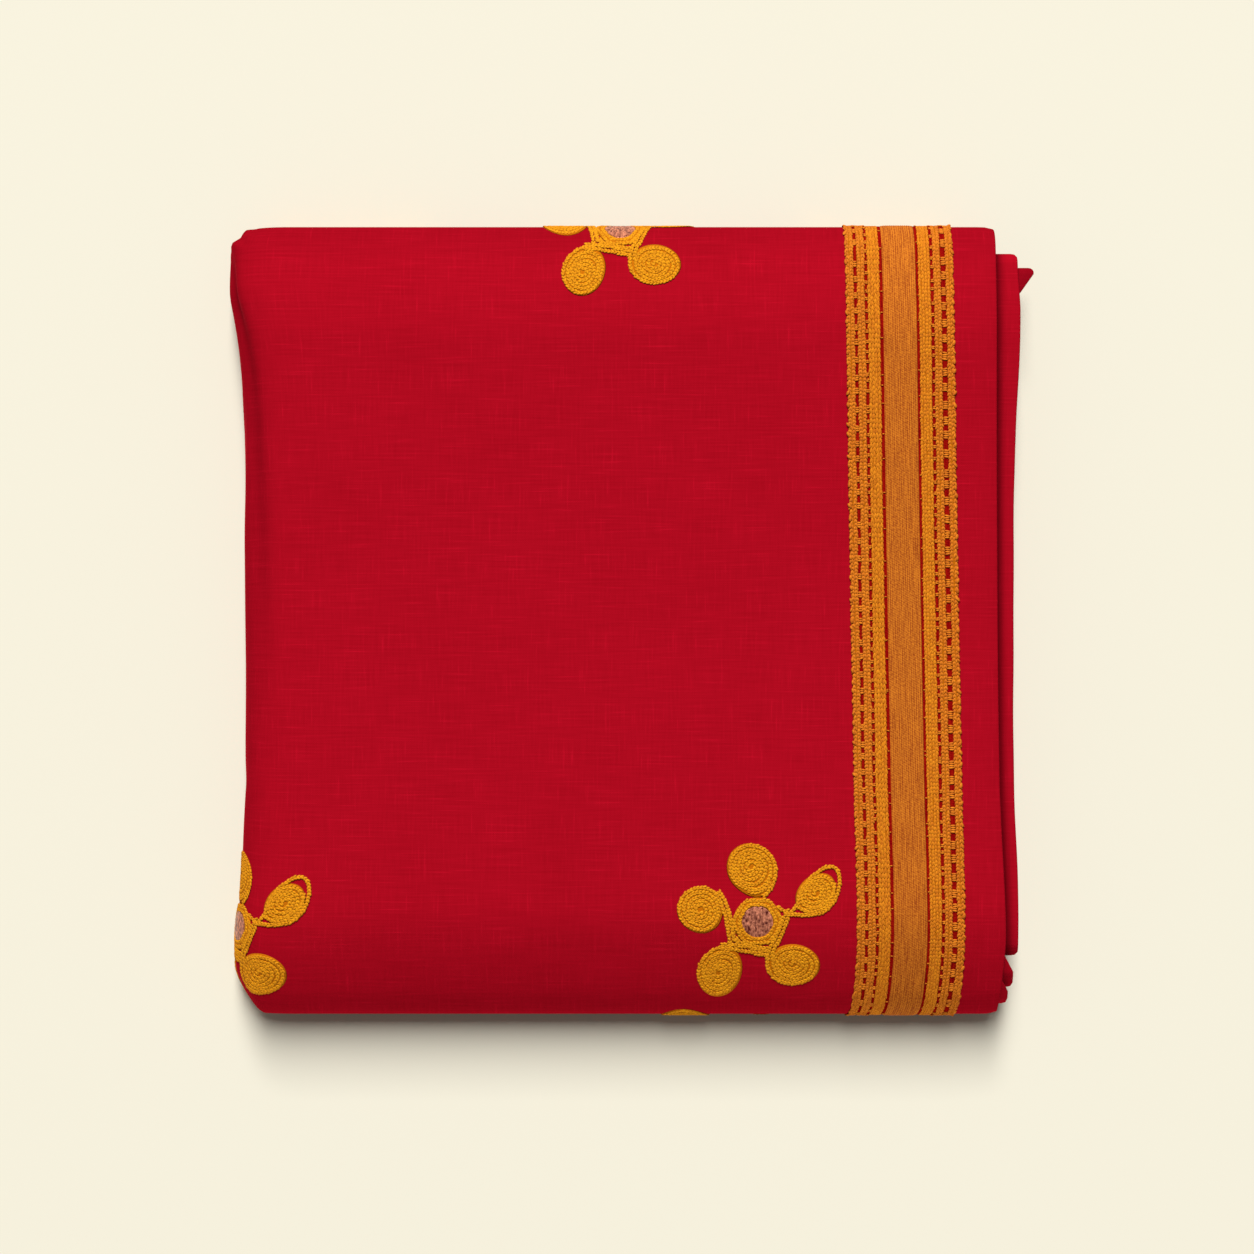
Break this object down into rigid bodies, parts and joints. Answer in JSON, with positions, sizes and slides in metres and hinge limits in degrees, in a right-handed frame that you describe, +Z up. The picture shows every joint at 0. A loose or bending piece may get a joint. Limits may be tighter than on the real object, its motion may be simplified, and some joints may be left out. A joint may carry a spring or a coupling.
{
  "type": "folded zari saree",
  "caption": "Red saree folded into a flat square packet, with a gold zari border along its open side and couched gold flowers with mirror centres.",
  "frame": {"origin": "centre of the folded packet's outline, on the surface it lies on", "axes": "+Z up out of the packet's top face, +X from the folded spine towards the open layered side with the border, +Y along the border towards the far rolled edge"},
  "size_m": [0.3099, 0.3064, 0.0432],
  "materials": {
    "red_cloth": "slubbed plain weave, soft sheen",
    "zari_weave": "woven metallic thread border with satin band and twisted cords",
    "zari_cord": "couched gold chain-stitch cord",
    "mirror_work": "small dulled mirror, unevenly reflecting"
  },
  "bodies": {
    "root": {"outer_wrap": "red_cloth", "hidden_layers": "red_cloth", "second_fold": "red_cloth", "zari_border": "zari_weave", "flower_top": "zari_cord", "flower_top_mirror": "mirror_work", "flower_far_edge": "zari_cord", "flower_far_edge_mirror": "mirror_work", "flower_spine": "zari_cord", "flower_spine_mirror": "mirror_work", "flower_near_edge_1": "zari_cord", "flower_near_edge_2": "zari_cord", "flower_near_edge_3": "zari_cord", "flower_under_left": "zari_cord", "flower_under_right": "zari_cord"}
  },
  "joints": []
}
